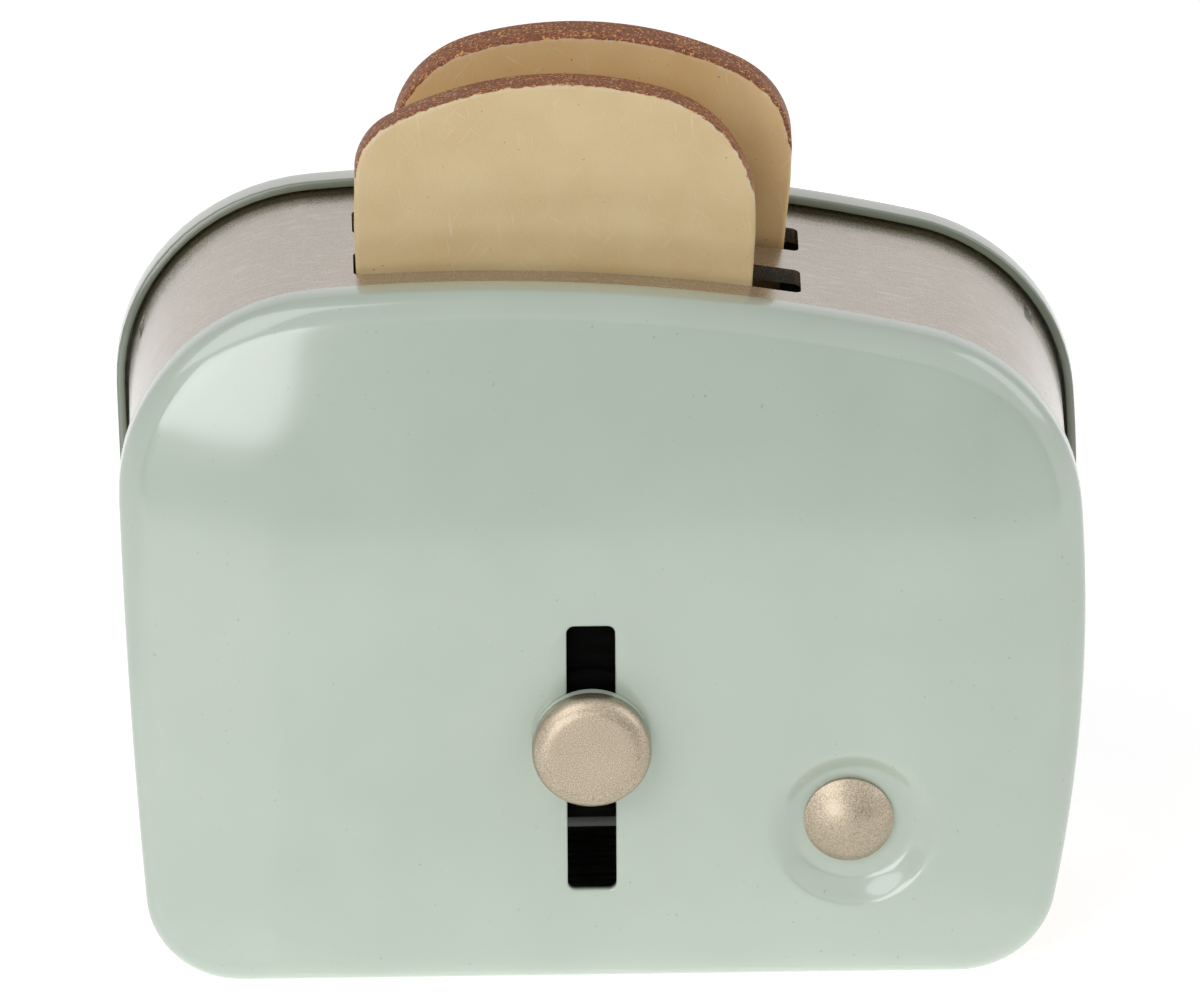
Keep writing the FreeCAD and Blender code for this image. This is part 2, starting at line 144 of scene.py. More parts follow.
# Dimple in the front face, and the rings of mesh points that carry it
dimple_place = (14.3, 9.7)
dimple_radius = 5.05
dimple_floor_radius = 3.3
dimple_depth = 0.86
dimple_ring_step = 0.25
dimple_ring_count = 25
dimple_ring_spacing = 0.3
dimple_clear_radius = 6.6

# Lever slot in the front face, its softened edge, and the mesh points beside it
slot_centre = (-0.75, 14.4)
slot_half_width = 1.4
slot_half_height = 8.35
slot_corner = 0.46
slot_corner_steps = 6
slot_edge_growth = 0.12
slot_edge_steps = ((0.03, 0.04), (0.0, 0.14))
slot_side_growths = (0.3, 0.6)
slot_clear_margin = 0.85

# Knob
knob_flat_share = 0.5
knob_roll_width = 1.1
knob_roll_depth = 0.75
knob_roll_steps = 10
knob_back_rounding = 0.15
knob_steps = 96

# Bread
slice_width = 23.0
slice_thickness = 2.0
slice_taper = 2.7
slice_foot_radius = 1.5
crust_end = 6.5
crust_fade = 4.0
slice_shoulder_drop = 9.2
slice_lean = 3.6
front_slice_turn = 0.8
rear_slice_turn = 2.6
front_slice_shift = -0.08
rear_slice_shift = 0.0
slice_edge = 0.16
slice_face_rings = (0.9, 0.5, 0.3)
slice_side_steps = 4
slice_spacing = 0.8
front_crust_lap = -0.02
rear_crust_lap = 0.12
foot_steps = 8
shoulder_steps = 18
arch_steps = 40

# Tones as they show on a screen, from 0 to 255
mint_tone = (180, 193, 179)
mint_cloud_tone = (184, 197, 183)
mint_speck_tone = (163, 174, 161)
# Painted light on the rear pan: a dark painted shade at its lip, and a pale painted reflection of the white
# backdrop over its wall
rear_lip_painted_shade_tone = (118, 128, 112)
rear_wall_painted_reflection_tone = (214, 216, 209)
band_light_tone = (190, 180, 169)
band_dark_tone = (166, 155, 143)
band_brushed_tone = (214, 206, 198)
# Painted shade beside and under the rear pan's lip, with a painted reflection of the dark gap
band_lip_painted_shade_tone = (140, 131, 104)
knob_light_tone = (196, 183, 165)
knob_dark_tone = (148, 134, 112)
steel_tones = (150, 148, 144), (90, 88, 84)
dark_steel_tones = (16, 14, 12), (8, 7, 6)
# Near black: painted shade for the parts seen through the lever slot
painted_slot_shade_tones = (9, 8, 7), (5, 4, 4)
front_bread_tones = (223, 197, 148), (229, 205, 158)
# The rear slice's crumb, a warmer copy of the front's: painted light against the shade that the front slice
# casts on it
rear_bread_painted_light_tones = (228, 194, 141), (233, 201, 149)
scratch_tone = (238, 224, 194)
pale_speck_tone = (226, 210, 176)
dark_speck_tone = (150, 118, 78)
chipped_edge_tone = (230, 214, 190)
crust_tones = (108, 58, 34), (166, 102, 62)
crust_blotch_tone = (116, 62, 37)
# Painted highlight: golden glints on the crust
crust_painted_glint_tone = (232, 172, 100)

# Angles and shifts of the fine scratches in the bread
scratch_runs = ((-38.0, 3.0), (55.0, 8.0), (8.0, 14.0))


def point(x, y, z):
    return Vector((x, y, z)) * MM


def circle_through(first, second, third):
    """Centre and radius of the circle through three points of a plane."""
    (ax, ay), (bx, by), (cx, cy) = first, second, third
    scale = 2.0 * (ax * (by - cy) + bx * (cy - ay) + cx * (ay - by))
    a, b, c = ax * ax + ay * ay, bx * bx + by * by, cx * cx + cy * cy
    x = (a * (by - cy) + b * (cy - ay) + c * (ay - by)) / scale
    y = (a * (cx - bx) + b * (ax - cx) + c * (bx - ax)) / scale
    return x, y, math.hypot(ax - x, ay - y)


left_circle = circle_through((-foot_left, 0), (-waist_left, waist_height), (-shoulder_left, shoulder_height))
right_circle = circle_through((foot_right, 0), (waist_right, waist_height), (shoulder_right, shoulder_height))
crown_circle = (crown_offset, case_height - crown_radius, crown_radius)


def rounding_centre(side, cap, inset, radius, sign):
    """Centre of the arc that rounds the corner between a side and the crown, or the floor if cap is None."""
    side_x, side_z, side_radius = side
    reach = side_radius - inset - radius
    if cap is None:
        z = inset + radius
        return side_x + sign * math.sqrt(reach ** 2 - (z - side_z) ** 2), z
    cap_x, cap_z, cap_radius = cap
    cap_reach = cap_radius - inset - radius
    gap = math.hypot(cap_x - side_x, cap_z - side_z)
    along = (reach ** 2 - cap_reach ** 2 + gap ** 2) / (2.0 * gap)
    across = math.sqrt(reach ** 2 - along ** 2)
    unit_x, unit_z = (cap_x - side_x) / gap, (cap_z - side_z) / gap
    places = [
        (side_x + unit_x * along - turn * unit_z * across, side_z + unit_z * along + turn * unit_x * across)
        for turn in (-1, 1)
    ]
    return max(places, key=lambda place: place[1])


def arc(centre, radius, start, end, steps):
    """Points along an arc, without its end. Angles are in radians, counter-clockwise from +X."""
    turn = (end - start + math.pi) % (2.0 * math.pi) - math.pi
    angles = [start + turn * step / steps for step in range(steps)]
    return [(centre[0] + radius * math.cos(a), centre[1] + radius * math.sin(a)) for a in angles]


def direction(start, end):
    return math.atan2(end[1] - start[1], end[0] - start[0])


def case_outline(inset):
    """The case's outline drawn in by an even inset, counter-clockwise from the foot of its right side."""
    radii = [max(r - inset, 0.05) for r in
             (bottom_right_radius, top_right_radius, top_left_radius, bottom_left_radius)]
    corners = [
        rounding_centre(right_circle, None, inset, radii[0], 1),
        rounding_centre(right_circle, crown_circle, inset, radii[1], 1),
        rounding_centre(left_circle, crown_circle, inset, radii[2], -1),
        rounding_centre(left_circle, None, inset, radii[3], -1),
    ]
    right = [direction(right_circle[:2], corner) for corner in corners[:2]]
    crown = [direction(crown_circle[:2], corner) for corner in corners[1:3]]
    left = [direction(left_circle[:2], corner) for corner in corners[2:]]
    points = arc(right_circle, right_circle[2] - inset, right[0], right[1], arc_steps)
    points += arc(corners[1], radii[1], right[1], crown[0], corner_steps)
    points += arc(crown_circle, crown_circle[2] - inset, crown[0], crown[1], arc_steps)
    points += arc(corners[2], radii[2], crown[1], left[0], corner_steps)
    points += arc(left_circle, left_circle[2] - inset, left[0], left[1], arc_steps)
    points += arc(corners[3], radii[3], left[1], -math.pi / 2.0, corner_steps)
    floor_left, floor_right = corners[3][0], corners[0][0]
    floor_step = (floor_right - floor_left) / arc_steps
    points += [(floor_left + floor_step * step, inset) for step in range(arc_steps)]
    points += arc(corners[0], radii[0], -math.pi / 2.0, right[0], corner_steps)
    return points


def shoulder_centre(shape, radius, sign):
    """Centre of the arc that rounds a slice's shoulder, on its right (1) or its left (-1)."""
    height, arch_radius, arch_offset = shape[:3]
    x = sign * (slice_width / 2.0 - radius)
    return x, height - arch_radius + math.sqrt((arch_radius - radius) ** 2 - (x - arch_offset) ** 2)


def slice_outline(shape, inset):
    """A slice's outline drawn in by an even inset, counter-clockwise, with its foot at z = 0."""
    height, arch_radius, arch_offset, left_radius, right_radius = shape
    arch = (arch_offset, height - arch_radius)
    right = shoulder_centre(shape, right_radius, 1)
    left = shoulder_centre(shape, left_radius, -1)
    half = slice_width / 2.0
    taper = math.radians(slice_taper)
    waist_z = height - slice_shoulder_drop
    foot_x = half - (waist_z - slice_foot_radius) * math.tan(taper) - slice_foot_radius / math.cos(taper)
    foot_z = slice_foot_radius
    down = -math.pi / 2.0
    right_lift, left_lift = direction(arch, right), direction(arch, left)
    points = arc((foot_x, foot_z), slice_foot_radius - inset, down, -taper, foot_steps)
    points.append((half - inset, waist_z))
    points += arc(right, right_radius - inset, 0.0, right_lift, shoulder_steps)
    points += arc(arch, arch_radius - inset, right_lift, left_lift, arch_steps)
    points += arc(left, left_radius - inset, left_lift, math.pi, shoulder_steps)
    points.append((inset - half, waist_z))
    points += arc((-foot_x, foot_z), slice_foot_radius - inset, math.pi + taper, -down * 3.0, foot_steps)
    points.append((-foot_x, inset))
    points.append((0.0, inset))
    return points


def inside_ring(place, ring):
    """Whether a point lies inside a ring of points."""
    x, z = place
    inside = False
    for (ax, az), (bx, bz) in zip(ring, ring[1:] + ring[:1]):
        if (az > z) != (bz > z) and x < ax + (z - az) * (bx - ax) / (bz - az):
            inside = not inside
    return inside


def grid_inside(ring, spacing, keep):
    """Points of a staggered grid inside a ring, kept clear of it and of whatever else keep() turns down."""
    low_x, high_x = min(x for x, z in ring), max(x for x, z in ring)
    low_z, high_z = min(z for x, z in ring), max(z for x, z in ring)
    places = []
    for row in range(int((high_z - low_z) / spacing)):
        z = low_z + (row + 0.5) * spacing
        for column in range(int((high_x - low_x) / spacing)):
            x = low_x + (column + 0.25 + 0.5 * (row % 2)) * spacing
            clear = min((x - rx) ** 2 + (z - rz) ** 2 for rx, rz in ring) > (0.5 * spacing) ** 2
            if clear and inside_ring((x, z), ring) and keep(x, z):
                places.append((x, z))
    return places


def fill(ring, places, hole=()):
    """Triangles that fill a convex ring with given points inside, left open in a hole."""
    points, edges = [], []
    for loop in (ring, hole):
        start = len(points)
        points += loop
        edges += [(start + i, start + (i + 1) % len(loop)) for i in range(len(loop))]
    points += places
    found = delaunay_2d_cdt([Vector(place) for place in points], edges, [], 0, 1e-6)
    made = [tuple(vertex) for vertex in found[0]]
    faces = []
    for face in found[2]:
        centre = [sum(made[i][axis] for i in face) / len(face) for axis in (0, 1)]
        if not (hole and inside_ring(centre, hole)):
            faces.append(face)
    first = {}
    for index, sources in enumerate(found[3]):
        for source in sources:
            first[source] = index
    return made, faces, first


def new_piece(name, points, faces, body, rim_distances=()):
    mesh = bpy.data.meshes.new(name)
    mesh.from_pydata([point(*place) for place in points], [], faces)
    if rim_distances:
        values = mesh.attributes.new("rim_distance", "FLOAT", "POINT")
        values.data.foreach_set("value", rim_distances)
    solid = bmesh.new()
    solid.from_mesh(mesh)
    bmesh.ops.remove_doubles(solid, verts=solid.verts, dist=0.0005 * MM)
    bmesh.ops.recalc_face_normals(solid, faces=solid.faces)
    solid.to_mesh(mesh)
    solid.free()
    mesh.shade_smooth()
    piece = bpy.data.objects.new(name, mesh)
    bpy.context.scene.collection.objects.link(piece)
    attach(piece, body)
    return piece


def ring_faces(start, other, count):
    return [(start + i, start + (i + 1) % count, other + (i + 1) % count, other + i) for i in range(count)]


def swell(inset):
    """How far the face lies behind its highest part, at a distance inside the outline."""
    if inset >= swell_width:
        return 0.0
    return swell_depth * (1.0 - inset / swell_width) ** swell_power


def face_back(inset):
    """How far the inside of the face lies behind that highest part, flat where the spring washer slides."""
    return max(shell_sheet, swell(inset) + thinned_sheet)


def side_distances(x, z):
    """Distances of a face point from the left side, the right side, the crown and the floor."""
    return [
        left_circle[2] - math.hypot(x - left_circle[0], z - left_circle[1]),
        right_circle[2] - math.hypot(x - right_circle[0], z - right_circle[1]),
        crown_circle[2] - math.hypot(x - crown_circle[0], z - crown_circle[1]),
        z,
    ]


def rounding(side, cap, radius, sign):
    """A rounded corner: its centre, its radius, and the directions from its centre to both of its ends."""
    centre = rounding_centre(side, cap, 0.0, radius, sign)
    ends = [direction(side[:2], centre), -math.pi / 2.0 if cap is None else direction(cap[:2], centre)]
    return centre, radius, [(math.cos(angle), math.sin(angle)) for angle in ends]


roundings = (
    rounding(right_circle, None, bottom_right_radius, 1),
    rounding(right_circle, crown_circle, top_right_radius, 1),
    rounding(left_circle, crown_circle, top_left_radius, -1),
    rounding(left_circle, None, bottom_left_radius, -1),
)
crease_from = max(bottom_left_radius, bottom_right_radius)


def corner_inset(x, z):
    """Distance inside the outline, with its rounded corners and no crease further in."""
    for centre, radius, (first, second) in roundings:
        off_x, off_z = x - centre[0], z - centre[1]
        turn = first[0] * second[1] - first[1] * second[0]
        along_first = (off_x * second[1] - off_z * second[0]) / turn
        along_second = (first[0] * off_z - first[1] * off_x) / turn
        if along_first > 0.0 and along_second > 0.0:
            return radius - math.hypot(off_x, off_z)
    nearest, next_nearest = sorted(side_distances(x, z))[:2]
    softness = 0.5 * (nearest - crease_from)
    if softness <= 0.0:
        return nearest
    return nearest - softness * math.log1p(math.exp((nearest - next_nearest) / softness))


def dimple(x, z):
    """Depth of the pressed dimple."""
    r = math.hypot(x - dimple_place[0], z - dimple_place[1])
    if r >= dimple_radius:
        return 0.0
    if r <= dimple_floor_radius:
        return dimple_depth
    t = (dimple_radius - r) / (dimple_radius - dimple_floor_radius)
    return dimple_depth * t * t * (3.0 - 2.0 * t)


def slot_ring(growth):
    """The lever slot's outline, let out by an even growth."""
    centre_x, centre_z = slot_centre
    half_width = slot_half_width - slot_corner
    half_height = slot_half_height - slot_corner
    radius = slot_corner + growth
    points = []
    for turn, (sign_x, sign_z) in enumerate(((1, 1), (-1, 1), (-1, -1), (1, -1))):
        centre = (centre_x + sign_x * half_width, centre_z + sign_z * half_height)
        start = turn * math.pi / 2.0
        points += arc(centre, radius, start, start + math.pi / 2.0, slot_corner_steps)
        points.append((centre[0] + radius * math.cos(start + math.pi / 2.0),
                       centre[1] + radius * math.sin(start + math.pi / 2.0)))
    return points


def rolled_rim(sheet):
    """The rim's roll as pairs of inset and depth. The inner skin is one sheet further in."""
    pairs = []
    for step in range(roll_steps + 1):
        angle = math.pi / 2.0 * step / roll_steps
        inset = sheet + (roll_width - sheet) * (1.0 - math.cos(angle))
        drop = (roll_depth - swell(0.0) - sheet) * (1.0 - math.sin(angle))
        pairs.append((inset, sheet + drop + swell(inset)))
    return pairs


def outer_rings(insets):
    """The pan's outer skin from its lip to its face, as pairs of inset and depth."""
    eased = lip_rounding * edge_ease
    lip = [
        (shell_sheet, shell_depth - lip_rounding),
        (shell_sheet - eased, shell_depth - eased),
        (shell_sheet - lip_rounding, shell_depth),
        (lip_rounding, shell_depth),
        (eased, shell_depth - eased),
        (0.0, shell_depth - lip_rounding),
    ]
    return lip + rolled_rim(0.0) + [(inset, swell(inset)) for inset in insets]


def inner_rings(insets):
    """The pan's inner skin from its lip to the back of its face."""
    lip = [(shell_sheet, shell_depth - lip_rounding)]
    return lip + rolled_rim(shell_sheet) + [(inset, face_back(inset)) for inset in insets]


def add_rings(points, faces, rings, depth, outer):
    """Rings along the case's outline, joined by faces. Gives the index of the last ring's first point."""
    start = len(points)
    count = len(case_outline(0))
    for index, (inset, drop) in enumerate(rings):
        points += [(x, depth(drop), z) for x, z in case_outline(inset)]
        if index:
            ends = (start + (index - 1) * count, start + index * count)
            first, second = ends if outer else reversed(ends)
            faces += ring_faces(first, second, count)
    return start + (len(rings) - 1) * count


def feature_places():
    """Mesh points beside the slot and on rings through the dimple."""
    places = []
    for growth in slot_side_growths:
        places += slot_ring(growth)
    for step in range(1, dimple_ring_count + 1):
        radius = dimple_ring_step * step
        total = max(8, int(radius * 2.0 * math.pi / dimple_ring_spacing))
        places += [
            (dimple_place[0] + radius * math.cos(2.0 * math.pi * i / total),
             dimple_place[1] + radius * math.sin(2.0 * math.pi * i / total))
            for i in range(total)
        ]
    return places


def clear_of_features(x, z):
    """Whether a point of the front face lies clear of the dimple and the slot."""
    in_dimple = math.hypot(x - dimple_place[0], z - dimple_place[1]) < dimple_clear_radius
    across = max(abs(x - slot_centre[0]) - slot_half_width, abs(z - slot_centre[1]) - slot_half_height)
    return not in_dimple and across > slot_clear_margin


def anywhere(x, z):
    return True


def add_slot_edge(points, faces, lips, depth):
    """The slot's softened edge and wall, to the back of the face. Gives the indices of the last ring."""
    count = len(lips)
    for growth, back in slot_edge_steps + ((0.0, shell_sheet),):
        start = len(points)
        for x, z in slot_ring(growth):
            inset = corner_inset(x, z)
            points.append((x, depth(min(swell(inset) + back, face_back(inset))), z))
        faces += [(lips[i], lips[(i + 1) % count], start + (i + 1) % count, start + i) for i in range(count)]
        lips = list(range(start, start + count))
    return lips


def add_skin(points, made, index_of, place_at):
    """The points of a filled face that no ring has made yet. index_of holds those that one has."""
    for i, (x, z) in enumerate(made):
        if i not in index_of:
            index_of[i] = len(points)
            points.append(place_at(x, z))


def pan_piece(name, body, sign, plain):
    """A pressed pan, its face to the front (1) or the rear (-1). A plain one has no slot and no dimple."""
    near_y = front_y if sign > 0 else rear_y

    def depth(y):
        return near_y + sign * y

    def on_face(x, z):
        return x, depth(swell(corner_inset(x, z)) + (0.0 if plain else dimple(x, z))), z

    def behind_face(x, z):
        return x, depth(face_back(corner_inset(x, z)) + (0.0 if plain else dimple(x, z))), z

    face_steps = range(1, face_ring_steps + 1)
    insets = [roll_width + (last_ring - roll_width) * step / face_ring_steps for step in face_steps]
    points, faces = [], []
    base = add_rings(points, faces, outer_rings(insets), depth, True)
    last = case_outline(last_ring)
    hole = [] if plain else slot_ring(slot_edge_growth)
    extra = [] if plain else [place for place in feature_places() if inside_ring(place, last)]
    extra += grid_inside(last, face_spacing, anywhere if plain else clear_of_features)
    made, triangles, first = fill(last, extra, hole)
    index_of = {first[i]: base + i for i in range(len(last))}
    add_skin(points, made, index_of, on_face)
    faces += [tuple(index_of[i] for i in face) for face in triangles]
    hole_places = [first[len(last) + i] for i in range(len(hole))]
    lips = add_slot_edge(points, faces, [index_of[i] for i in hole_places], depth) if hole else []
    base = add_rings(points, faces, inner_rings(insets), depth, False)
    index_of = {first[i]: base + i for i in range(len(last))}
    index_of.update(zip(hole_places, lips))
    add_skin(points, made, index_of, behind_face)
    faces += [tuple(index_of[i] for i in reversed(face)) for face in triangles]
    return new_piece(name, points, faces, body)


def slice_rings():
    """Pairs of inset and distance from the middle plane, from one face over the edge to the other."""
    half = slice_thickness / 2.0
    eased = slice_edge * edge_ease
    near = [(inset, half) for inset in slice_face_rings]
    near += [(slice_edge, half), (eased, half - eased), (0.0, half - slice_edge)]
    side_steps = range(1, slice_side_steps)
    side = [(0.0, (half - slice_edge) * (1.0 - 2.0 * step / slice_side_steps)) for step in side_steps]
    return near + side + [(inset, -y) for inset, y in reversed(near)]


def seated(points, node, lean, turn, shift):
    """A slice's points leant, turned and set in the middle of its solid's box."""
    turning = Matrix.Rotation(math.radians(-lean), 4, "X") @ Matrix.Rotation(math.radians(turn), 4, "Y")
    placed = [turning @ Vector(place) for place in points]
    lows = Vector([min(place[axis] for place in placed) for axis in range(3)])
    highs = Vector([max(place[axis] for place in placed) for axis in range(3)])
    low, high = node_box(node)
    move = (low + high - lows - highs) / 2.0 + Vector((shift, 0.0, 0.0))
    return [place + move for place in placed]


def slice_piece(name, node, body, shape, lean, turn, lap, shift):
    """A resin slice with softly rounded edges, set as its solid is.

    The crust laps over its face a little, and fades out down its sides.
    """
    rings = slice_rings()
    last_inset, half = rings[0]
    count = len(slice_outline(shape, 0.0))
    crust_height = shape[0] - crust_end
    points, faces, depths = [], [], []
    for index, (inset, y) in enumerate(rings):
        outline = slice_outline(shape, inset)
        points += [(x, y, z) for x, z in outline]
        depths += [inset - lap + max(0.0, crust_height - z) / crust_fade for x, z in outline]
        if index:
            faces += ring_faces(index * count, (index - 1) * count, count)
    last = slice_outline(shape, last_inset)
    made, triangles, first = fill(last, grid_inside(last, slice_spacing, anywhere))
    for base, y in ((0, half), ((len(rings) - 1) * count, -half)):
        index_of = {first[i]: base + i for i in range(count)}
        for i, (x, z) in enumerate(made):
            if i not in index_of:
                index_of[i] = len(points)
                points.append((x, y, z))
                depths.append(2.0 * last_inset)
        faces += [tuple(index_of[i] for i in face) for face in triangles]
    piece = new_piece(name, seated(points, node, lean, turn, shift), faces, body, depths)
    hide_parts(node)
    return piece


def knob_piece():
    """The knob, turned: a flat face whose edge rolls softly over to its back."""
    low, high = node_box("lever_knob")
    centre = (low + high) / 2.0
    radius = (high.x - low.x) / 2.0
    profile = [(radius * knob_flat_share, low.y)]
    for step in range(knob_roll_steps + 1):
        angle = math.pi / 2.0 * step / knob_roll_steps
        across = radius - knob_roll_width * (1.0 - math.sin(angle))
        profile.append((across, low.y + knob_roll_depth * (1.0 - math.cos(angle))))
    profile += [(radius, high.y - knob_back_rounding), (radius - knob_back_rounding, high.y)]
    points, faces = [], []
    angles = [2.0 * math.pi * i / knob_steps for i in range(knob_steps)]
    for across, y in profile:
        points += [(centre.x + across * math.cos(a), y, centre.z + across * math.sin(a)) for a in angles]
    for index in range(1, len(profile)):
        faces += ring_faces((index - 1) * knob_steps, index * knob_steps, knob_steps)
    faces += [tuple(range(knob_steps)), tuple(range(len(points) - knob_steps, len(points)))]
    piece = new_piece("turned_knob", points, faces, "lever")
    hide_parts("lever_knob")
    return piece


# Materials
def linear(tone):
    """A screen tone as a colour of light."""
    parts = [value / 255.0 for value in tone]
    return tuple(p / 12.92 if p <= 0.04045 else ((p + 0.055) / 1.055) ** 2.4 for p in parts) + (1.0,)


def new_material(name, roughness, metallic=0.0):
    material = bpy.data.materials.new(name)
    material.use_nodes = True
    shader = material.node_tree.nodes["Principled BSDF"]
    shader.inputs["Roughness"].default_value = roughness
    shader.inputs["Metallic"].default_value = metallic
    return material, material.node_tree, shader


def noise(tree, size, detail=2.0, stretch=(1.0, 1.0, 1.0), shift=0.0, tilt=0.0):
    """Noise with grains of about a given size in millimetres, fixed to its piece."""
    place = tree.nodes.new("ShaderNodeTexCoord").outputs["Object"]
    if tilt:
        turned = tree.nodes.new("ShaderNodeMapping")
        turned.inputs["Rotation"].default_value = (0.0, math.radians(tilt), 0.0)
        tree.links.new(place, turned.inputs["Vector"])
        place = turned.outputs["Vector"]
    scaling = tree.nodes.new("ShaderNodeMapping")
    scaling.inputs["Scale"].default_value = [1.0 / (MM * size * s) for s in stretch]
    scaling.inputs["Location"].default_value = (shift, shift, shift)
    texture = tree.nodes.new("ShaderNodeTexNoise")
    texture.inputs["Scale"].default_value = 1.0
    texture.inputs["Detail"].default_value = detail
    tree.links.new(place, scaling.inputs["Vector"])
    tree.links.new(scaling.outputs["Vector"], texture.inputs["Vector"])
    return texture.outputs["Fac"]


def joined(tree, operation, first, second):
    """Two values joined by a step of arithmetic."""
    node = tree.nodes.new("ShaderNodeMath")
    node.operation = operation
    tree.links.new(first, node.inputs[0])
    tree.links.new(second, node.inputs[1])
    return node.outputs["Value"]


def remap(tree, value, low, high, to_low=0.0, to_high=1.0):
    step = tree.nodes.new("ShaderNodeMapRange")
    for name, number in (("From Min", low), ("From Max", high), ("To Min", to_low), ("To Max", to_high)):
        step.inputs[name].default_value = number
    tree.links.new(value, step.inputs["Value"])
    return step.outputs["Result"]


def mix(tree, factor, first, second):
    """A colour between two others. Each may be a colour or a socket."""
    blend = tree.nodes.new("ShaderNodeMix")
    blend.data_type = "RGBA"
    tree.links.new(factor, blend.inputs["Factor"])
    for socket, value in ((blend.inputs[6], first), (blend.inputs[7], second)):
        if isinstance(value, tuple):
            socket.default_value = value
        else:
            tree.links.new(value, socket)
    return blend.outputs[2]


def bump(tree, shader, height, strength, distance):
    node = tree.nodes.new("ShaderNodeBump")
    node.inputs["Strength"].default_value = strength
    node.inputs["Distance"].default_value = distance * MM
    tree.links.new(height, node.inputs["Height"])
    tree.links.new(node.outputs["Normal"], shader.inputs["Normal"])


def depth_mix(tree, start, end, below, above):
    """A mix from one colour to another along the depth, between two places in millimetres."""
    place = tree.nodes.new("ShaderNodeTexCoord")
    split = tree.nodes.new("ShaderNodeSeparateXYZ")
    tree.links.new(place.outputs["Object"], split.inputs["Vector"])
    return mix(tree, remap(tree, split.outputs["Y"], start * MM, end * MM), below, above)


def mint_enamel(name, rear):
    """Glossy mint enamel with faint orange peel and a few dust specks.

    On the rear pan a pale painted reflection of the white backdrop covers the wall, and a dark painted shade
    lies where the wall ends at the lip.
    """
    material, tree, shader = new_material(name, 0.34)
    shader.inputs["Coat Weight"].default_value = 0.9
    shader.inputs["Coat Roughness"].default_value = 0.095
    shader.inputs["Coat IOR"].default_value = 1.6
    cloud = remap(tree, noise(tree, 9.0, 3.0), 0.35, 0.65)
    colour = mix(tree, cloud, linear(mint_tone), linear(mint_cloud_tone))
    specks = remap(tree, noise(tree, 0.32, 1.0), 0.76, 0.8)
    colour = mix(tree, specks, colour, linear(mint_speck_tone))
    if rear:
        # Painted light: a dark painted shade at the lip, then a pale painted reflection over the wall, back
        # to mint near the rear face
        lip_y = rear_y - shell_depth
        painted_wall_and_lip_light = depth_mix(tree, lip_y + 0.1, lip_y + 0.3, linear(rear_lip_painted_shade_tone), linear(rear_wall_painted_reflection_tone))
        colour = depth_mix(tree, rear_y - 1.0, rear_y - 0.3, painted_wall_and_lip_light, colour)
    tree.links.new(colour, shader.inputs["Base Color"])
    dulling = remap(tree, noise(tree, 4.0, 3.0, shift=7.0), 0.3, 0.7, 0.3, 0.4)
    tree.links.new(dulling, shader.inputs["Roughness"])
    bump(tree, shader, noise(tree, 0.9, 2.0, shift=3.0), 0.12, 0.02)
    return material


def champagne(name, light, dark, roughness, coat, grain, brushed_with_lip_shade):
    """Metallic champagne paint with fine glittering grains.

    For the band it is faintly brushed, and darkened beside and under the lip of the rear pan by a painted
    shade and a painted reflection of the dark gap there.
    """
    material, tree, shader = new_material(name, roughness, 0.8)
    shader.inputs["Coat Weight"].default_value = coat
    shader.inputs["Coat Roughness"].default_value = 0.12
    grains = remap(tree, noise(tree, grain, 2.0), 0.35, 0.65)
    cloud = remap(tree, noise(tree, 5.0, 2.0, shift=2.0), 0.3, 0.7, 0.0, 0.3)
    colour = mix(tree, cloud, mix(tree, grains, dark, light), dark)
    if brushed_with_lip_shade:
        streaks = noise(tree, 0.16, 2.0, stretch=(9.0, 1.0, 9.0), shift=5.0)
        brushing = remap(tree, streaks, 0.52, 0.72, 0.0, 0.35)
        colour = mix(tree, brushing, colour, linear(band_brushed_tone))
        # Painted shade: darker towards and under the rear pan's lip, standing in for its shade and the
        # reflection of the dark gap
        lip_y = rear_y - shell_depth
        colour = depth_mix(tree, lip_y - 0.95, lip_y - 0.45, colour, linear(band_lip_painted_shade_tone))
    tree.links.new(colour, shader.inputs["Base Color"])
    grain_roughness = remap(tree, grains, 0.0, 1.0, roughness - 0.06, roughness + 0.1)
    tree.links.new(grain_roughness, shader.inputs["Roughness"])
    bump(tree, shader, grains, 0.3, 0.012)
    return material


def steel(name, tones, metallic, roughness):
    """Sheet or wire with rolling marks: bare steel, blackened steel, and a near-black painted shade for parts
    seen through the lever slot.
    """
    material, tree, shader = new_material(name, roughness, metallic)
    shader.inputs["Specular IOR Level"].default_value = 0.5 if metallic else 0.05
    streaks = remap(tree, noise(tree, 0.4, 3.0, stretch=(8.0, 1.0, 1.0)), 0.3, 0.7)
    tree.links.new(mix(tree, streaks, linear(tones[0]), linear(tones[1])), shader.inputs["Base Color"])
    streak_roughness = remap(tree, streaks, 0.0, 1.0, roughness - 0.1, roughness + 0.12)
    tree.links.new(streak_roughness, shader.inputs["Roughness"])
    bump(tree, shader, streaks, 0.15, 0.02)
    return material


def crumb_colour(tree, tones):
    """Resin crumb in soft clouds, with fine scratches across it and pale and dark specks."""
    cloud = remap(tree, noise(tree, 3.2, 4.0), 0.34, 0.66)
    colour = mix(tree, cloud, linear(tones[0]), linear(tones[1]))
    for tilt, shift in scratch_runs:
        scratches = noise(tree, 0.16, 1.0, (1.0, 4.0, 14.0), shift, tilt)
        colour = mix(tree, remap(tree, scratches, 0.7, 0.78, 0.0, 0.4), colour, linear(scratch_tone))
    pale_speck = remap(tree, noise(tree, 0.26, 1.0, shift=6.0), 0.73, 0.77, 0.0, 0.7)
    colour = mix(tree, pale_speck, colour, linear(pale_speck_tone))
    dark_speck = remap(tree, noise(tree, 0.22, 1.0, shift=4.0), 0.77, 0.8, 0.0, 0.7)
    return mix(tree, dark_speck, colour, linear(dark_speck_tone))


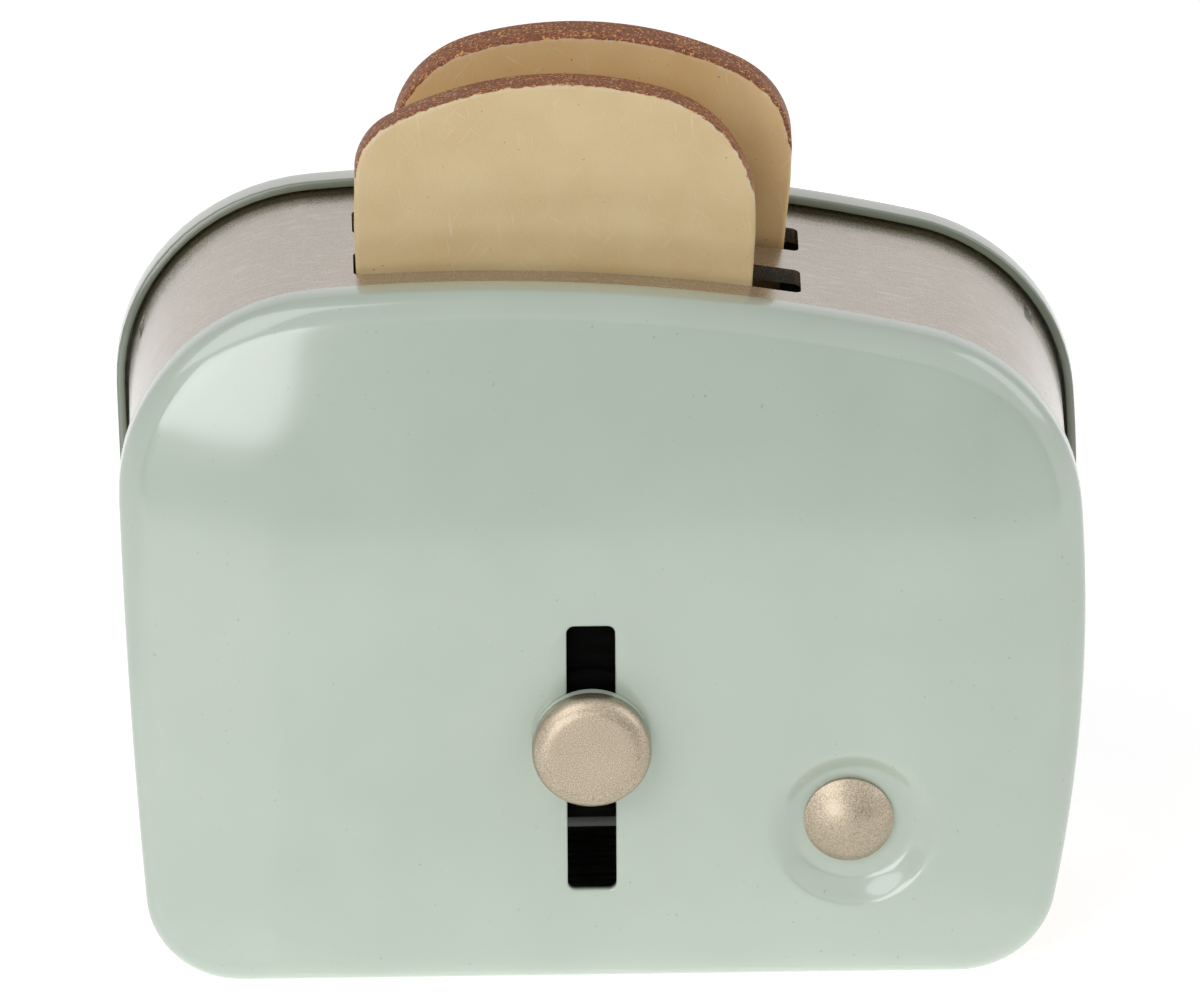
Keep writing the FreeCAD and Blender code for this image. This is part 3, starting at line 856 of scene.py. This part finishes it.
def crust_colour(tree, speckle):
    """Brown crust paint, speckled, with darker blotches and golden glints painted into its colour as painted
    highlights.
    """
    colour = mix(tree, speckle, linear(crust_tones[0]), linear(crust_tones[1]))
    blotch = remap(tree, noise(tree, 1.6, 2.0, shift=13.0), 0.4, 0.65, 0.0, 0.5)
    colour = mix(tree, blotch, colour, linear(crust_blotch_tone))
    # Painted highlights: small golden glints
    painted_glints = remap(tree, noise(tree, 0.17, 1.0, shift=17.0), 0.6, 0.66, 0.0, 0.9)
    return mix(tree, painted_glints, colour, linear(crust_painted_glint_tone))


def bread(name, tones):
    """Waxy resin crumb with a painted crust on its edge and a pale, chipped line beside the crust."""
    material, tree, shader = new_material(name, 0.42)
    shader.inputs["Subsurface Weight"].default_value = 0.25
    shader.inputs["Subsurface Radius"].default_value = (1.0, 0.55, 0.25)
    shader.inputs["Subsurface Scale"].default_value = 0.8 * MM
    distance = tree.nodes.new("ShaderNodeAttribute")
    distance.attribute_name = "rim_distance"
    raggedness = remap(tree, noise(tree, 0.5, 3.0, shift=9.0), 0.3, 0.7, -0.07, 0.05)
    ragged = joined(tree, "ADD", distance.outputs["Fac"], raggedness)
    chips = remap(tree, noise(tree, 0.45, 2.0, shift=11.0), 0.42, 0.6)
    edge = joined(tree, "MULTIPLY", remap(tree, ragged, 0.12, 0.34, 0.75, 0.0), chips)
    crumb = mix(tree, edge, crumb_colour(tree, tones), linear(chipped_edge_tone))
    speckle = remap(tree, noise(tree, 0.15, 2.0, shift=1.0), 0.42, 0.58)
    inside = remap(tree, ragged, 0.05, 0.1)
    tree.links.new(mix(tree, inside, crust_colour(tree, speckle), crumb), shader.inputs["Base Color"])
    tree.links.new(remap(tree, inside, 0.0, 1.0, 0.6, 0.4), shader.inputs["Roughness"])
    bump(tree, shader, speckle, 0.2, 0.02)
    return material


finishes = {
    "mint_enamel": mint_enamel("mint_enamel_paint", False),
    # The rear pan's enamel, with its painted shade at the lip and its painted reflection over the wall
    "rear_mint": mint_enamel("rear_mint_painted_rim_light", True),
    "champagne_enamel": champagne(
        "champagne_band_paint", linear(band_light_tone), linear(band_dark_tone), 0.2, 0.4, 0.09, True),
    "knob_enamel": champagne(
        "champagne_knob_paint", linear(knob_light_tone), linear(knob_dark_tone), 0.38, 0.25, 0.075, False),
    "bare_steel": steel("bare_steel_finish", steel_tones, 0.9, 0.35),
    "dark_steel": steel("dark_steel_finish", dark_steel_tones, 0.0, 0.75),
    "bread_resin": bread("bread_finish", front_bread_tones),
    # The rear slice's warmer crumb: painted light against the front slice's shade
    "rear_bread": bread("rear_bread_painted_light_finish", rear_bread_painted_light_tones),
    # Near black, as painted shade for the parts in the lever slot
    "painted_slot_shade": steel("painted_slot_shade_finish", painted_slot_shade_tones, 0.0, 0.9),
}

slots = {
    "front_shell": "mint_enamel", "rear_shell": "mint_enamel", "case_band": "champagne_enamel",
    "base_plate": "bare_steel", "base_rivets": "bare_steel", "divider_bar": "bare_steel",
    "guide_rods": "bare_steel", "button_stud": "knob_enamel", "button_ring": "bare_steel",
    "lever_knob": "knob_enamel", "lever_washer": "mint_enamel", "lever_rivet": "bare_steel",
    "slide_block": "dark_steel", "spring_washer": "bare_steel", "carriage": "dark_steel",
    "bread_tray": "dark_steel", "tray_rivets": "bare_steel", "front_slice": "bread_resin",
    "rear_slice": "bread_resin",
}


# Pieces shown in another finish than their slot's own: near black, a painted shade for the parts seen through
# the lever slot
shown_as = {"spring_washer": "painted_slot_shade", "slide_block": "painted_slot_shade", "carriage": "painted_slot_shade"}


def finish_node(name):
    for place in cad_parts[name].material_slots:
        place.material = finishes[shown_as.get(name, slots[name])]


def dress(piece, finish):
    """A piece's slot, and the finish that it shows."""
    piece.data.materials.append(finishes[finish])


for name in slots:
    finish_node(name)

front_pan = pan_piece("front_pan", "case", 1, False)
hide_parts("front_shell")
dress(front_pan, "mint_enamel")
rear_pan = pan_piece("rear_pan", "case", -1, True)
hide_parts("rear_shell")
dress(rear_pan, "rear_mint")
dress(knob_piece(), "knob_enamel")
front_bread = slice_piece("front_bread_slice", "front_slice", "front_bread", front_slice_shape,
                          slice_lean, front_slice_turn, front_crust_lap, front_slice_shift)
dress(front_bread, "bread_resin")
rear_bread = slice_piece("rear_bread_slice", "rear_slice", "rear_bread", rear_slice_shape,
                         -slice_lean, rear_slice_turn, rear_crust_lap, rear_slice_shift)
dress(rear_bread, "rear_bread")


# Floor, light and camera
def white_world():
    """White for whatever sees it straight or in a reflection, and softer as a light."""
    world = bpy.data.worlds.new("studio")
    world.use_nodes = True
    tree = world.node_tree
    background = tree.nodes["Background"]
    path = tree.nodes.new("ShaderNodeLightPath")
    seen = path.outputs["Is Camera Ray"]
    for other in ("Is Glossy Ray", "Is Transmission Ray"):
        seen = joined(tree, "MAXIMUM", seen, path.outputs[other])
    tree.links.new(remap(tree, seen, 0.0, 1.0, ambient_light, 1.0), background.inputs["Strength"])
    background.inputs["Color"].default_value = (1.0, 1.0, 1.0, 1.0)
    bpy.context.scene.world = world


def paper_sheet(name, corners, grey, glow):
    """A flat sheet of paper that belongs to the studio."""
    mesh = bpy.data.meshes.new(name)
    mesh.from_pydata([point(*corner) for corner in corners], [], [(0, 1, 2, 3)])
    sheet = bpy.data.objects.new(name, mesh)
    bpy.context.scene.collection.objects.link(sheet)
    material, tree, shader = new_material(name + "_paper", 0.9)
    shader.inputs["Base Color"].default_value = (grey, grey, grey, 1.0)
    shader.inputs["Emission Color"].default_value = (1.0, 1.0, 1.0, 1.0)
    shader.inputs["Emission Strength"].default_value = glow
    mesh.materials.append(material)
    sheet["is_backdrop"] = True
    return sheet


def pale_floor():
    """A pale sheet that ends a little in front of the toaster and keeps its shadow."""
    near, far, side = floor_near, floor_reach, floor_reach
    corners = [(-side, near, 0), (side, near, 0), (side, far, 0), (-side, far, 0)]
    paper_sheet("floor", corners, floor_grey, floor_glow)


def gloss_card(name, corners, glow):
    """A flat card in front of the toaster that only its gloss can see, grey or glowing."""
    card = paper_sheet(name, corners, card_grey, glow)
    card.visible_camera = False
    card.visible_diffuse = False
    card.visible_shadow = False


def softbox(name, place, target, size, power, in_gloss=True):
    light = bpy.data.lights.new(name, "AREA")
    light.shape = "RECTANGLE"
    light.size = size[0] * MM
    light.size_y = size[1] * MM
    light.energy = power
    lamp = bpy.data.objects.new(name, light)
    lamp.location = point(*place)
    lamp.rotation_euler = (point(*target) - point(*place)).to_track_quat("-Z", "Y").to_euler()
    lamp.visible_camera = False
    lamp.visible_glossy = in_gloss
    bpy.context.scene.collection.objects.link(lamp)


def add_camera():
    azimuth, elevation = math.radians(camera_azimuth), math.radians(camera_elevation)
    back = Vector((math.sin(azimuth) * math.cos(elevation), -math.cos(azimuth) * math.cos(elevation),
                   math.sin(elevation)))
    camera = bpy.data.objects.new("camera", bpy.data.cameras.new("camera"))
    camera.data.lens = camera_lens
    camera.data.sensor_width = 36.0
    camera.data.clip_start = 0.05
    camera.data.clip_end = 10.0
    camera.location = point(*camera_target) + back * camera_distance * MM
    turn = (-back).to_track_quat("-Z", "Y").to_matrix().to_4x4()
    camera.rotation_euler = (turn @ Matrix.Rotation(math.radians(camera_roll), 4, "Z")).to_euler()
    bpy.context.scene.collection.objects.link(camera)
    bpy.context.scene.camera = camera


white_world()
pale_floor()
gloss_card("dark_card", dark_card_corners, 0.0)
gloss_card("window_card", window_card_corners, window_card_glow)
gloss_card("floor_card", floor_card_corners, floor_card_glow)
softbox("key_light", *key_light)
softbox("side_light", *side_light)
softbox("low_light", *low_light, in_gloss=False)
add_camera()
bpy.context.scene.view_settings.view_transform = "Standard"

shown_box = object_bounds()
boxes = {"cad": cad_box, "shown": shown_box}
{name: [list(corner) for corner in corners] for name, corners in boxes.items()}
